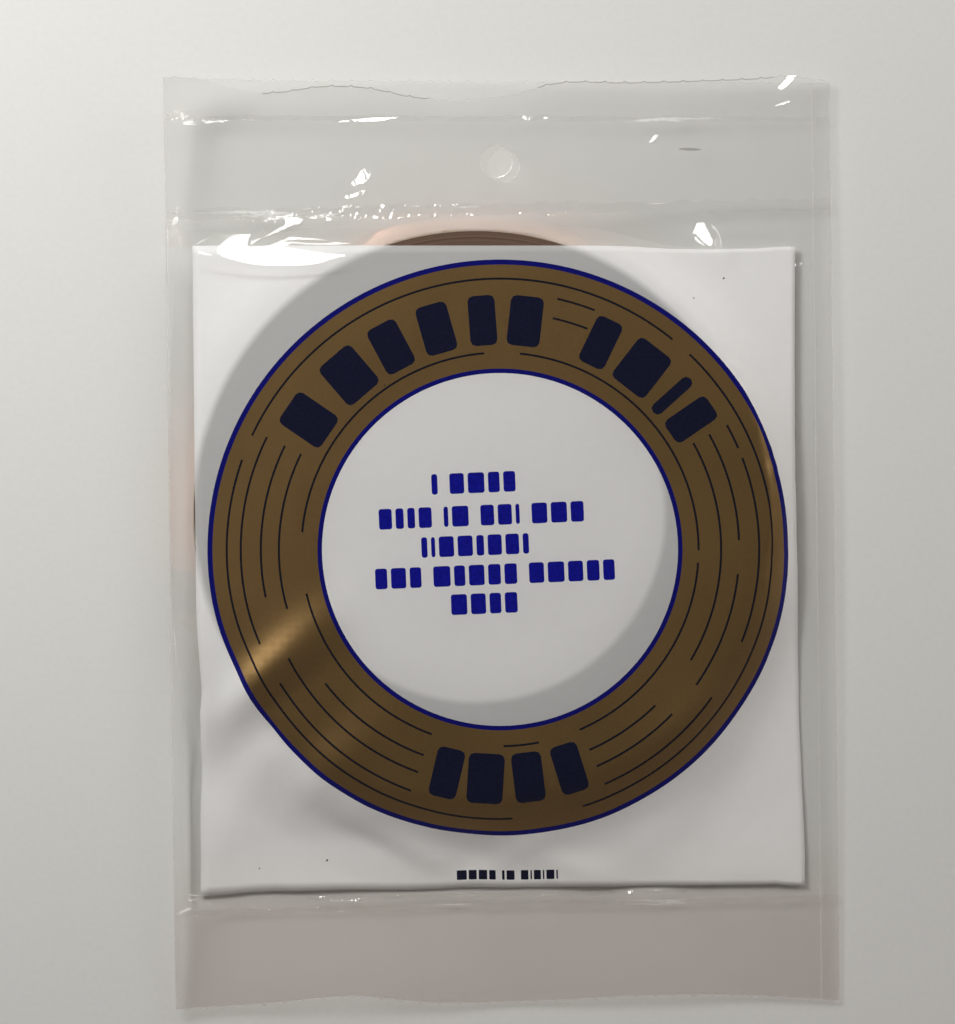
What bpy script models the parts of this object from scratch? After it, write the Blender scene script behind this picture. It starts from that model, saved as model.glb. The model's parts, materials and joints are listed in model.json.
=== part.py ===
"""Copper foil tape roll, sealed behind its label card in a clear film bag.

Frame: metres. The package lies on its back, +Z up out of its face and +Y towards the header with the
hang hole. The origin is under the middle of the package.
"""

from math import cos, pi, radians, sin

import bmesh
import bpy

MM = 0.001

# The bag: two films joined by welds across it and by a seam down its right side.
BAG_WIDTH = 133.0 * MM
BAG_LENGTH = 186.0 * MM
FILM = 0.1 * MM
FILM_GAP = 0.3 * MM
WELD_BAND = 1.4 * MM
WELD_THICKNESS = 0.2 * MM
HEADER_WELD_Y = 66.3 * MM
BOTTOM_WELD_Y = -73.2 * MM
TOP_WELD_Y = 84.4 * MM
SEAM_WIDTH = 2.2 * MM
FOLD_CLEARANCE = 0.4 * MM
NUB_PITCH = 3.9 * MM
NUB_WIDTH = 0.8 * MM
NUB_HEIGHT = 0.3 * MM
HANG_HOLE_RADIUS = 3.175 * MM
HANG_HOLE_X = 0.9 * MM
HANG_HOLE_Y = 74.9 * MM
HOLE_STEPS = 32

# The roll: foil tape wound on a core with a hole of 3 inches, 3/16 inch wide.
TAPE_WIDTH = 4.76 * MM
CORE_INNER_RADIUS = 38.1 * MM
CORE_WALL = 1.9 * MM
ROLL_RADIUS = 56.35 * MM
ROLL_X = -5.4 * MM
ROLL_Y = 5.8 * MM
FOIL = 0.032 * MM
ADHESIVE = 0.030 * MM
LINER = 0.102 * MM
LAYER_GAP = 0.01 * MM
CORE_GAP = 0.05 * MM
TURN_STEPS = 128
OUTER_TURN_STEPS = 125
OUTER_TURN_START = radians(200)

# The label card, one sheet of paper over the face of the roll.
CARD_WIDTH = 121.1 * MM
CARD_LENGTH = 129.5 * MM
CARD_X = -0.75 * MM
CARD_TOP_Y = 59.1 * MM
CARD_THICKNESS = 0.2 * MM
CARD_LOW_EDGE_Z = 2.0 * MM

# Heights of the stack, from the surface that the package lies on.
CLEARANCE = 0.3 * MM
FRONT_FILM_Z = FILM + FILM_GAP
ROLL_Z = FILM + CLEARANCE
ROLL_TOP_Z = ROLL_Z + TAPE_WIDTH
CARD_Z = ROLL_TOP_Z + CLEARANCE
TENT_Z = CARD_Z + CARD_THICKNESS + CLEARANCE
SIDE_SLOPE = 2.6 * MM
END_SLOPE = 2.9 * MM

FOLD_TOP_Y = HEADER_WELD_Y + WELD_BAND / 2 + FOLD_CLEARANCE
FOLD_BOTTOM_Y = BOTTOM_WELD_Y - WELD_BAND / 2 - FOLD_CLEARANCE
FOLD_Z = (FRONT_FILM_Z + FILM) / 2

CLEAR_FILM = {"color": (0.86, 0.87, 0.86, 1), "roughness": 0.12, "metallic": 0.0, "alpha": 0.25}
WELD_FILM = {"color": (0.90, 0.90, 0.89, 1), "roughness": 0.25, "metallic": 0.0, "alpha": 0.5}
PAPER = {"color": (0.80, 0.80, 0.79, 1), "roughness": 0.85, "metallic": 0.0, "alpha": 1.0}
BOARD = {"color": (0.42, 0.31, 0.20, 1), "roughness": 0.9, "metallic": 0.0, "alpha": 1.0}
WOUND = {"color": (0.24, 0.13, 0.08, 1), "roughness": 0.45, "metallic": 0.9, "alpha": 1.0}
COPPER = {"color": (0.72, 0.34, 0.20, 1), "roughness": 0.28, "metallic": 1.0, "alpha": 1.0}
GLUE = {"color": (0.55, 0.50, 0.40, 1), "roughness": 0.5, "metallic": 0.0, "alpha": 0.6}
LINER_PAPER = {"color": (0.70, 0.64, 0.52, 1), "roughness": 0.8, "metallic": 0.0, "alpha": 1.0}


def clear_scene():
    for obj in list(bpy.data.objects):
        bpy.data.objects.remove(obj, do_unlink=True)


def new_collection(name):
    collection = bpy.data.collections.new(name)
    bpy.context.scene.collection.children.link(collection)
    return collection


def new_material(name, look):
    material = bpy.data.materials.new(name)
    material.use_nodes = True
    shader = material.node_tree.nodes["Principled BSDF"]
    shader.inputs["Base Color"].default_value = look["color"]
    shader.inputs["Roughness"].default_value = look["roughness"]
    shader.inputs["Metallic"].default_value = look["metallic"]
    shader.inputs["Alpha"].default_value = look["alpha"]
    material.diffuse_color = look["color"]
    return material


def add_object(name, data, look, collection, parent=None):
    """One sub-part, in the collection, under the empty on its body's joint axis."""
    obj = bpy.data.objects.new(name, data)
    obj.data.materials.append(new_material(name + "_surface", look))
    collection.objects.link(obj)
    if parent is not None:
        obj.parent = parent
        obj.location = -parent.location
    return obj


def add_axis(name, location, collection):
    empty = bpy.data.objects.new(name, None)
    empty.location = location
    empty.empty_display_size = 10 * MM
    collection.objects.link(empty)
    return empty


def surface_mesh(name, rows):
    """An open surface through rows of points, all of one length."""
    mesh = bpy.data.meshes.new(name)
    surface = bmesh.new()
    verts = [[surface.verts.new(point) for point in row] for row in rows]
    for lower, upper in zip(verts, verts[1:]):
        for i in range(len(lower) - 1):
            surface.faces.new((lower[i], lower[i + 1], upper[i + 1], upper[i]))
    surface.to_mesh(mesh)
    surface.free()
    return mesh


def add_shell(obj, thickness, offset=1.0):
    shell = obj.modifiers.new("shell", "SOLIDIFY")
    shell.thickness = thickness
    shell.offset = offset
    shell.use_even_offset = True


def flat_sheet(name, outlines, z, thickness, look, collection, parent=None):
    """A flat sheet with its lower face at z. The first outline is its edge, and the others are holes."""
    curve = bpy.data.curves.new(name, "CURVE")
    curve.dimensions = "2D"
    curve.fill_mode = "BOTH"
    curve.extrude = thickness / 2
    for outline in outlines:
        spline = curve.splines.new("POLY")
        spline.points.add(len(outline) - 1)
        for point, (x, y) in zip(spline.points, outline):
            point.co = (x, y, 0, 1)
        spline.use_cyclic_u = True
    obj = add_object(name, curve, look, collection, parent)
    obj.location.z += z + thickness / 2
    return obj


def rectangle(left, right, low, high):
    return [(left, low), (right, low), (right, high), (left, high)]


def nubbed_edge(y, height):
    """Points from the right edge of the bag to the left, for a cut with small stubs whose ends lie on y."""
    count = round(BAG_WIDTH / NUB_PITCH)
    pitch = BAG_WIDTH / count
    points = [(BAG_WIDTH / 2, y - height)]
    for i in range(count):
        middle = BAG_WIDTH / 2 - (i + 0.5) * pitch
        right, left = middle + NUB_WIDTH / 2, middle - NUB_WIDTH / 2
        points += [(right, y - height), (right, y), (left, y), (left, y - height)]
    points.append((-BAG_WIDTH / 2, y - height))
    return points


def flap_outline(fold_y, cut_y):
    """The edge of a flap between its fold and its cut."""
    height = NUB_HEIGHT if cut_y > fold_y else -NUB_HEIGHT
    return [(-BAG_WIDTH / 2, fold_y), (BAG_WIDTH / 2, fold_y)] + nubbed_edge(cut_y, height)


def circle(x, y, radius):
    angles = [2 * pi * i / HOLE_STEPS for i in range(HOLE_STEPS)]
    return [(x + radius * cos(a), y + radius * sin(a)) for a in angles]


def pocket_profile(y):
    """Height of the inner face of the front film along the middle of the pocket."""
    pocket_top = HEADER_WELD_Y - WELD_BAND / 2
    pocket_bottom = BOTTOM_WELD_Y + WELD_BAND / 2
    roll_bottom = ROLL_Y - ROLL_RADIUS - CLEARANCE
    card_bottom = CARD_TOP_Y - CARD_LENGTH - CLEARANCE
    low_z = CARD_LOW_EDGE_Z + CARD_THICKNESS + CLEARANCE
    stations = [
        (pocket_bottom, FRONT_FILM_Z),
        (card_bottom, low_z),
        (roll_bottom, TENT_Z),
        (pocket_top - END_SLOPE, TENT_Z),
        (pocket_top, FRONT_FILM_Z),
    ]
    for (y0, z0), (y1, z1) in zip(stations, stations[1:]):
        if y0 <= y <= y1:
            return z0 + (z1 - z0) * (y - y0) / (y1 - y0)
    return FRONT_FILM_Z


def build_pocket_front(collection):
    half = BAG_WIDTH / 2
    seam_x = half - SEAM_WIDTH
    sides = [-half, -half + FILM_GAP]
    columns = sides + [-half + FILM_GAP + SIDE_SLOPE, seam_x - SIDE_SLOPE, seam_x, half]
    pocket_top = HEADER_WELD_Y - WELD_BAND / 2
    pocket_bottom = BOTTOM_WELD_Y + WELD_BAND / 2
    stations = [
        BOTTOM_WELD_Y - WELD_BAND / 2,
        pocket_bottom,
        CARD_TOP_Y - CARD_LENGTH - CLEARANCE,
        ROLL_Y - ROLL_RADIUS - CLEARANCE,
        pocket_top - END_SLOPE,
        pocket_top,
        HEADER_WELD_Y + WELD_BAND / 2,
    ]
    raised = columns[2:4]
    rows = []
    for y in stations:
        top = pocket_profile(y)
        rows.append([(x, y, top if x in raised else FRONT_FILM_Z) for x in columns])
    front = add_object("pocket_front_film", surface_mesh("pocket_front_film", rows), CLEAR_FILM, collection)
    add_shell(front, FILM)


def build_pocket(collection):
    half = BAG_WIDTH / 2
    low = BOTTOM_WELD_Y - WELD_BAND / 2
    high = HEADER_WELD_Y + WELD_BAND / 2
    flat_sheet("pocket_back_film", [rectangle(-half, half, low, high)], 0, FILM, CLEAR_FILM, collection)
    build_pocket_front(collection)
    weld_z = FILM + (FILM_GAP - WELD_THICKNESS) / 2
    seam_x = half - SEAM_WIDTH
    for name, y in (("header_weld", HEADER_WELD_Y), ("bottom_weld", BOTTOM_WELD_Y)):
        band = rectangle(-half, half, y - WELD_BAND / 2, y + WELD_BAND / 2)
        flat_sheet(name, [band], weld_z, WELD_THICKNESS, WELD_FILM, collection)
    seam_low = BOTTOM_WELD_Y + WELD_BAND / 2 + CLEARANCE
    seam_high = HEADER_WELD_Y - WELD_BAND / 2 - CLEARANCE
    seam = rectangle(seam_x, half, seam_low, seam_high)
    flat_sheet("side_seam", [seam], weld_z, WELD_THICKNESS, WELD_FILM, collection)


def build_header(collection):
    axis = add_axis("header_fold_axis", (0, FOLD_TOP_Y, FOLD_Z), collection)
    edge = flap_outline(FOLD_TOP_Y + FOLD_CLEARANCE, BAG_LENGTH / 2)
    outlines = [edge, circle(HANG_HOLE_X, HANG_HOLE_Y, HANG_HOLE_RADIUS)]
    flat_sheet("header_back_film", outlines, 0, FILM, CLEAR_FILM, collection, axis)
    flat_sheet("header_front_film", outlines, FRONT_FILM_Z, FILM, CLEAR_FILM, collection, axis)
    half = BAG_WIDTH / 2
    band = rectangle(-half, half, TOP_WELD_Y - WELD_BAND / 2, TOP_WELD_Y + WELD_BAND / 2)
    weld_z = FILM + (FILM_GAP - WELD_THICKNESS) / 2
    flat_sheet("top_weld", [band], weld_z, WELD_THICKNESS, WELD_FILM, collection, axis)


def build_tail(collection):
    axis = add_axis("tail_fold_axis", (0, FOLD_BOTTOM_Y, FOLD_Z), collection)
    edge = flap_outline(FOLD_BOTTOM_Y - FOLD_CLEARANCE, -BAG_LENGTH / 2)
    flat_sheet("tail_back_film", [edge], 0, FILM, CLEAR_FILM, collection, axis)
    flat_sheet("tail_front_film", [edge], FRONT_FILM_Z, FILM, CLEAR_FILM, collection, axis)


def build_card(collection):
    """The card lies flat over the roll and slopes down from the roll's lower edge to the bottom weld."""
    bend_y = ROLL_Y - ROLL_RADIUS - CLEARANCE
    bottom_y = CARD_TOP_Y - CARD_LENGTH
    stations = [(bottom_y, CARD_LOW_EDGE_Z), (bend_y, CARD_Z), (CARD_TOP_Y, CARD_Z)]
    left = CARD_X - CARD_WIDTH / 2
    right = CARD_X + CARD_WIDTH / 2
    rows = [[(left, y, z), (right, y, z)] for y, z in stations]
    card = add_object("label_card", surface_mesh("label_card", rows), PAPER, collection)
    add_shell(card, CARD_THICKNESS)


def add_ring(name, inner, outer, look, collection, axis):
    """A ring about the roll's axis, as wide as the tape."""
    mesh = bpy.data.meshes.new(name)
    profile = [
        (outer, 0, TAPE_WIDTH / 2),
        (outer, 0, -TAPE_WIDTH / 2),
        (inner, 0, -TAPE_WIDTH / 2),
        (inner, 0, TAPE_WIDTH / 2),
    ]
    mesh.from_pydata(profile, [(0, 1), (1, 2), (2, 3), (3, 0)], [])
    ring = add_object(name, mesh, look, collection, axis)
    ring.location = (0, 0, 0)
    turn = ring.modifiers.new("turn", "SCREW")
    turn.axis = "Z"
    turn.angle = 2 * pi
    turn.steps = TURN_STEPS
    turn.render_steps = TURN_STEPS
    turn.use_merge_vertices = True
    turn.merge_threshold = 0.00001
    turn.use_smooth_shade = True
    return ring


def add_outer_turn(name, outer, thickness, look, collection, axis):
    """One layer of the last turn of tape, from its cut end almost once round the roll."""
    step = 2 * pi / TURN_STEPS
    start = round(OUTER_TURN_START / step) * step
    angles = [start + step * i for i in range(OUTER_TURN_STEPS + 1)]
    rows = [
        [(outer * cos(a), outer * sin(a), side * TAPE_WIDTH / 2) for a in angles] for side in (-1, 1)
    ]
    layer = add_object(name, surface_mesh(name, rows), look, collection, axis)
    layer.location = (0, 0, 0)
    add_shell(layer, thickness, offset=-1.0)
    layer.data.shade_smooth()


def build_roll(collection):
    axis = add_axis("roll_axis", (ROLL_X, ROLL_Y, ROLL_Z + TAPE_WIDTH / 2), collection)
    core_outer = CORE_INNER_RADIUS + CORE_WALL
    foil_outer = ROLL_RADIUS
    adhesive_outer = foil_outer - FOIL - LAYER_GAP
    liner_outer = adhesive_outer - ADHESIVE - LAYER_GAP
    wound_outer = liner_outer - LINER - LAYER_GAP
    add_ring("cardboard_core", CORE_INNER_RADIUS, core_outer, BOARD, collection, axis)
    add_ring("wound_tape", core_outer + CORE_GAP, wound_outer, WOUND, collection, axis)
    add_outer_turn("outer_turn_liner", liner_outer, LINER, LINER_PAPER, collection, axis)
    add_outer_turn("outer_turn_adhesive", adhesive_outer, ADHESIVE, GLUE, collection, axis)
    add_outer_turn("outer_turn_foil", foil_outer, FOIL, COPPER, collection, axis)


def main():
    clear_scene()
    collection = new_collection("copper_foil_tape_roll")
    build_pocket(collection)
    build_header(collection)
    build_tail(collection)
    build_card(collection)
    build_roll(collection)


main()
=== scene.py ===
"""The looks of a packaged roll of copper foil tape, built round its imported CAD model.

Lengths are in metres. The package lies on its back: +Z comes out of its face and +Y points to the header.
"""

import json
from math import cos, hypot, pi, radians, sin, tan

import bmesh
import bpy
import numpy as np
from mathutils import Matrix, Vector
from mathutils.geometry import delaunay_2d_cdt


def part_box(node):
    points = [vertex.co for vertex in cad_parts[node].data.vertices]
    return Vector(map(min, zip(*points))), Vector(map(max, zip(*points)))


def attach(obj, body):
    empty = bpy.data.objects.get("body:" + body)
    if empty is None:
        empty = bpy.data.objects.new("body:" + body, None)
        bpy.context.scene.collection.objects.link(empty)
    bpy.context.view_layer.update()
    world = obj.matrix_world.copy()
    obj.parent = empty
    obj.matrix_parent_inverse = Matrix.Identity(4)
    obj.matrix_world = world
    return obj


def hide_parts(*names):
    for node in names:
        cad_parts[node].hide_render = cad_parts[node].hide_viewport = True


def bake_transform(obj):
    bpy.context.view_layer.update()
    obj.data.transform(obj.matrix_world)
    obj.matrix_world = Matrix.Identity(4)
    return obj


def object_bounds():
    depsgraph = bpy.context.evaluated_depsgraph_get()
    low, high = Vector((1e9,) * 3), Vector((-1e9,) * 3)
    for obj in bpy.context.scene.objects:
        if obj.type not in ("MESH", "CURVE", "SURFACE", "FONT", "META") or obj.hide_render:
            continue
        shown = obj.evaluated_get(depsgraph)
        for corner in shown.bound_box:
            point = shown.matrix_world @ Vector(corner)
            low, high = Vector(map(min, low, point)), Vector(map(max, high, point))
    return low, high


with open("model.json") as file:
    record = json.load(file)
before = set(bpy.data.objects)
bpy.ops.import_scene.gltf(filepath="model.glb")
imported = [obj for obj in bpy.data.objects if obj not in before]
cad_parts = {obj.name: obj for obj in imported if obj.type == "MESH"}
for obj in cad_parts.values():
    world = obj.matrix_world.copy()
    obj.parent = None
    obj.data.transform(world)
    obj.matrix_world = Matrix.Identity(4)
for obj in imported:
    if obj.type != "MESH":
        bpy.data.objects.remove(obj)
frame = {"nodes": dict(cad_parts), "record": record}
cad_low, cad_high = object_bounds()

MM = 0.001
SEED = 7

# Places, from the frame
HALF_WIDTH = cad_high.x
HEADER_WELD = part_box("header_weld")
BOTTOM_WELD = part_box("bottom_weld")
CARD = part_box("label_card")
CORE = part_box("cardboard_core")
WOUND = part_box("wound_tape")
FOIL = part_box("outer_turn_foil")
ROLL_X = (CORE[0].x + CORE[1].x) / 2
ROLL_Y = (CORE[0].y + CORE[1].y) / 2
ROLL_RADIUS = (FOIL[1].x - FOIL[0].x) / 2
WOUND_RADIUS = (WOUND[1].x - WOUND[0].x) / 2
CORE_RADIUS = (CORE[1].x - CORE[0].x) / 2
CORE_HOLE_RADIUS = 38.1 * MM
ROLL_TOP = WOUND[1].z
ROLL_BOTTOM = WOUND[0].z
CARD_X = (CARD[0].x + CARD[1].x) / 2
CARD_Y = (CARD[0].y + CARD[1].y) / 2
CARD_HALF_WIDTH = (CARD[1].x - CARD[0].x) / 2
CARD_HALF_LENGTH = (CARD[1].y - CARD[0].y) / 2
CARD_TRAVEL = 2 * MM
HANG_HOLE = next(m["pos_m"] for m in frame["record"]["mounts"] if m["name"] == "hang_hole")
HANG_HOLE_RADIUS = 3.175 * MM
POCKET_LOW_Y = BOTTOM_WELD[0].y
POCKET_HIGH_Y = HEADER_WELD[1].y
TURN_PITCH = 0.1645 * MM
FOIL_THICKNESS = 0.032 * MM

# Heights of the loose pieces
TABLE_Z = 0.05 * MM
FILM_CLEARANCE = 0.25 * MM
CARD_FLAT_Z = ROLL_TOP + 0.25 * MM
CARD_LOW_Z = 0.5 * MM

# Spacing of the films' points
COLUMN_PITCH = 0.42 * MM
POCKET_PITCH = 0.6 * MM
HEADER_PITCH = 0.4 * MM
TAIL_PITCH = 0.7 * MM


# ---- helpers ----


def smooth(t):
    t = np.clip(t, 0.0, 1.0)
    return t * t * (3 - 2 * t)


def lattice_noise(x, y, scale, seed):
    """Smooth noise in -1..1 over arrays of places, with features as large as scale."""
    rng = np.random.default_rng(seed)
    size = 64
    angles = rng.uniform(0, 2 * pi, (size, size))
    gx, gy = np.cos(angles), np.sin(angles)
    u, v = np.asarray(x) / scale + 1000, np.asarray(y) / scale + 1000
    iu, iv = np.floor(u).astype(int), np.floor(v).astype(int)
    fu, fv = u - iu, v - iv

    def corner(du, dv):
        i, j = (iu + du) % size, (iv + dv) % size
        return gx[i, j] * (fu - du) + gy[i, j] * (fv - dv)

    su, sv = smooth(fu), smooth(fv)
    low = corner(0, 0) * (1 - su) + corner(1, 0) * su
    high = corner(0, 1) * (1 - su) + corner(1, 1) * su
    return (low * (1 - sv) + high * sv) * 1.5


def knots(at, points):
    """A smooth curve through a few (place, value) points, read at the places in an array."""
    places = np.array([p[0] for p in points]) * MM
    values = np.array([p[1] for p in points]) * MM
    at = np.asarray(at, float)
    i = np.clip(np.searchsorted(places, at) - 1, 0, len(places) - 2)
    slopes = np.gradient(values, places)
    span = places[i + 1] - places[i]
    t = np.clip((at - places[i]) / span, 0, 1)
    a = values[i] * (2 * t**3 - 3 * t**2 + 1) + slopes[i] * span * (t**3 - 2 * t**2 + t)
    b = values[i + 1] * (3 * t**2 - 2 * t**3) + slopes[i + 1] * span * (t**3 - t**2)
    return a + b


def mesh_object(name, verts, faces, materials, face_materials=None):
    mesh = bpy.data.meshes.new(name)
    mesh.from_pydata([tuple(v) for v in verts], [], [tuple(f) for f in faces])
    obj = bpy.data.objects.new(name, mesh)
    bpy.context.scene.collection.objects.link(obj)
    for material in materials:
        mesh.materials.append(material)
    if face_materials is not None:
        mesh.polygons.foreach_set("material_index", np.asarray(face_materials, np.int32))
    mesh.shade_smooth()
    mesh.update()
    return obj


def grid_faces(rows, columns):
    """Quads over a grid of rows x columns points, with their normals up where x and y both grow."""
    i = np.arange(rows - 1)[:, None] * columns + np.arange(columns - 1)[None, :]
    return np.stack([i, i + 1, i + columns + 1, i + columns], -1).reshape(-1, 4)


def grid_object(name, x, y, z, materials, face_materials=None):
    verts = np.stack([x, y, z], -1).reshape(-1, 3)
    return mesh_object(name, verts, grid_faces(*x.shape), materials, face_materials)


def around_roll(radius, angles, z):
    """Places at a radius from the roll's axis."""
    return ROLL_X + radius * np.cos(angles), ROLL_Y + radius * np.sin(angles), z


# ---- materials ----


class Nodes:
    """Adds shader nodes to a tree. An input is a value or another node's output."""

    def __init__(self, tree):
        self.tree = tree
        self.place = self.add("TexCoord").outputs["Object"]

    def add(self, kind, inputs=(), **settings):
        node = self.tree.nodes.new("ShaderNode" + kind)
        for key, value in settings.items():
            setattr(node, key, value)
        for key, value in dict(inputs).items():
            if isinstance(value, bpy.types.NodeSocket):
                self.tree.links.new(value, node.inputs[key])
            else:
                node.inputs[key].default_value = value
        return node

    def noise(self, scale, detail=3.0, roughness=0.5, stretch=(1, 1, 1)):
        spread = self.add("Mapping", {"Vector": self.place, "Scale": stretch})
        settings = {"Vector": spread.outputs[0], "Scale": scale, "Detail": detail, "Roughness": roughness}
        return self.add("TexNoise", settings).outputs["Fac"]

    def ramp(self, fac, stops):
        """A colour ramp through (place, grey or colour) stops."""
        node = self.add("ValToRGB", {"Fac": fac})
        elements = node.color_ramp.elements
        while len(elements) < len(stops):
            elements.new(0.5)
        for element, (place, value) in zip(elements, stops):
            element.position = place
            rgb = (value,) * 3 if isinstance(value, (int, float)) else value
            element.color = (*rgb, 1.0)
        return node.outputs["Color"]

    def math(self, operation, a, b=0.0, **settings):
        return self.add("Math", {0: a, 1: b}, operation=operation, **settings).outputs[0]

    def mix(self, fac, a, b, blend="MIX"):
        inputs = {0: fac, 6: a, 7: b}
        return self.add("Mix", inputs, data_type="RGBA", blend_type=blend).outputs[2]

    def bump(self, height, distance, strength=1.0):
        settings = {"Height": height, "Distance": distance, "Strength": strength}
        return self.add("Bump", settings).outputs["Normal"]

    def distance_from(self, x, y):
        """Distance in the XY plane from (x, y) to the shaded place."""
        moved = self.add("VectorMath", {0: self.place, 1: (-x, -y, 0.0)}, operation="ADD")
        flat = {0: moved.outputs[0], 1: (1.0, 1.0, 0.0)}
        flat = self.add("VectorMath", flat, operation="MULTIPLY").outputs[0]
        return self.add("VectorMath", {0: flat}, operation="LENGTH").outputs["Value"]

    def principled(self, **inputs):
        names = {key.replace("_", " "): value for key, value in inputs.items()}
        shader = self.add("BsdfPrincipled", names)
        self.add("OutputMaterial", {"Surface": shader.outputs[0]})


def new_material(name):
    material = bpy.data.materials.new(name)
    material.use_nodes = True
    material.node_tree.nodes.clear()
    return material, Nodes(material.node_tree)


def film_material(name, tint, haze, mirror, roughness, whitening_and_glints=0.0):
    """Clear film: most light goes straight through it, and a share is mirrored that grows at low angles.

    The mirrored light is doubled, because a film has two faces and this sheet has one.
    """
    material, nodes = new_material(name)
    long = nodes.noise(38.0, 2.0, 0.5, (1.0, 0.35, 1.0))
    normal = nodes.bump(long, 0.00015)
    facing = nodes.add("LayerWeight", {"Blend": 0.5, "Normal": normal}).outputs["Facing"]
    long_way = nodes.math("MULTIPLY", nodes.math("POWER", facing, 2.5), 0.6)
    colour = nodes.mix(long_way, film_tint_and_tail_shade(nodes, tint), (0.52, 0.50, 0.48, 1.0))
    clear = nodes.add("BsdfTransparent", {"Color": colour})
    milk = nodes.add("BsdfDiffuse", {"Color": (0.88, 0.87, 0.86, 1.0), "Normal": normal})
    body = nodes.add("MixShader", {0: haze, 1: clear.outputs[0], 2: milk.outputs[0]})
    settings = {"Roughness": roughness, "Normal": normal, "Color": (2.0, 2.0, 2.0, 1.0)}
    gloss = nodes.add("BsdfAnisotropic", settings)
    grazing = nodes.math("POWER", facing, 4.0)
    share = nodes.math("MULTIPLY_ADD", grazing, 0.9, use_clamp=True)
    share.node.inputs[2].default_value = mirror
    film = nodes.add("MixShader", {0: share, 1: body.outputs[0], 2: gloss.outputs[0]})
    film = film.outputs[0]
    if whitening_and_glints:
        film = whiten_with_glints(nodes, film, whitening_and_glints)
    nodes.add("OutputMaterial", {"Surface": film})
    return material


def film_tint_and_tail_shade(nodes, tint):
    """The film's colour, with painted shade: a little darker and warmer towards the tail."""
    y = nodes.add("SeparateXYZ", {0: nodes.place}).outputs["Y"]
    settings = {"Value": y, "From Min": -0.055, "From Max": -0.080, "To Min": 0.0, "To Max": 1.0}
    tail = nodes.add("MapRange", settings, interpolation_type="SMOOTHSTEP").outputs[0]
    # Painted shade: the tail's film is tinted darker and warmer.
    shaded_tail_tint = tuple(a * b for a, b in zip(tint, (0.985, 0.967, 0.960)))
    return nodes.mix(tail, (*tint, 1.0), (*shaded_tail_tint, 1.0))


def whiten_with_glints(nodes, film, share):
    """The film's shader with white streaks in it along a weld, partly stress-whitened film and partly
    painted glints of light on its crinkles.
    """
    streaks = nodes.noise(300.0, 3.0, 0.6, (0.16, 2.6, 0.3))
    mask = nodes.ramp(streaks, [(0.60, 0.0), (0.67, share)])
    # White diffuse streaks: stress-whitening and painted glints.
    white_and_glint = nodes.add("BsdfDiffuse", {"Color": (0.95, 0.95, 0.94, 1.0)})
    return nodes.add("MixShader", {0: mask, 1: film, 2: white_and_glint.outputs[0]}).outputs[0]


def floor_material():
    material, nodes = new_material("table")
    grain = nodes.noise(900.0, 2.0)
    colour = nodes.ramp(grain, [(0.3, (0.765, 0.770, 0.750)), (0.7, (0.785, 0.790, 0.770))])
    nodes.principled(Base_Color=colour, Roughness=0.75)
    return material


def roll_shade(nodes):
    """How light the paper looks over the table, over the core's hole and over the wound tape."""
    distance = nodes.distance_from(ROLL_X, ROLL_Y)
    stops = [
        (CORE_HOLE_RADIUS - 8 * MM, 0.85),
        (CORE_HOLE_RADIUS - 0.9 * MM, 0.82),
        (CORE_HOLE_RADIUS + 0.4 * MM, 0.585),
        (ROLL_RADIUS - 0.8 * MM, 0.55),
        (ROLL_RADIUS + 0.6 * MM, 0.97),
        (ROLL_RADIUS + 6 * MM, 1.0),
    ]
    reach = 100 * MM
    fac = nodes.math("DIVIDE", distance, reach)
    return nodes.ramp(fac, [(r / reach, value) for r, value in stops])


def paper_material(name, front):
    material, nodes = new_material(name)
    fibres = nodes.noise(700.0, 3.0, 0.6)
    cloud = nodes.noise(60.0, 3.0)
    colour = nodes.ramp(fibres, [(0.25, (0.905, 0.905, 0.90)), (0.75, (0.94, 0.94, 0.935))])
    colour = nodes.mix(nodes.math("MULTIPLY", cloud, 0.10), colour, (0.86, 0.84, 0.84, 1.0))
    if front:
        colour = nodes.mix(1.0, colour, roll_shade(nodes), "MULTIPLY")
    height = nodes.math("ADD", nodes.math("MULTIPLY", fibres, 0.03), cloud)
    normal = nodes.bump(height, 0.0002, 0.6)
    nodes.principled(Base_Color=colour, Roughness=0.62, Normal=normal, Specular_IOR_Level=0.3)
    return material


def gold_ink_material():
    material, nodes = new_material("gold_ink")
    flakes = nodes.noise(2600.0, 2.0)
    cloud = nodes.noise(45.0, 4.0)
    colour = nodes.ramp(flakes, [(0.3, (0.250, 0.152, 0.050)), (0.7, (0.285, 0.175, 0.060))])
    colour = nodes.mix(nodes.math("MULTIPLY", cloud, 0.5), colour, (0.15, 0.08, 0.025, 1.0))
    rough = nodes.ramp(cloud, [(0.3, 0.38), (0.7, 0.5)])
    height = nodes.math("ADD", nodes.math("MULTIPLY", flakes, 0.004), cloud)
    normal = nodes.bump(height, 0.0003, 0.6)
    shine = {"Metallic": 0.65, "Specular_IOR_Level": 0.55}
    nodes.principled(Base_Color=colour, Roughness=rough, Normal=normal, **shine)
    return material


def ink_material(name, colour, thin_colour, patchy):
    """Printing ink whose colour thins where the print took badly."""
    material, nodes = new_material(name)
    blotch = nodes.noise(1500.0, 3.0, 0.6)
    low, high = 0.5 - patchy, 0.5 + patchy
    mottled = nodes.ramp(blotch, [(low, thin_colour), (high, colour)])
    nodes.principled(Base_Color=mottled, Roughness=0.5, Specular_IOR_Level=0.04)
    return material


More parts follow.
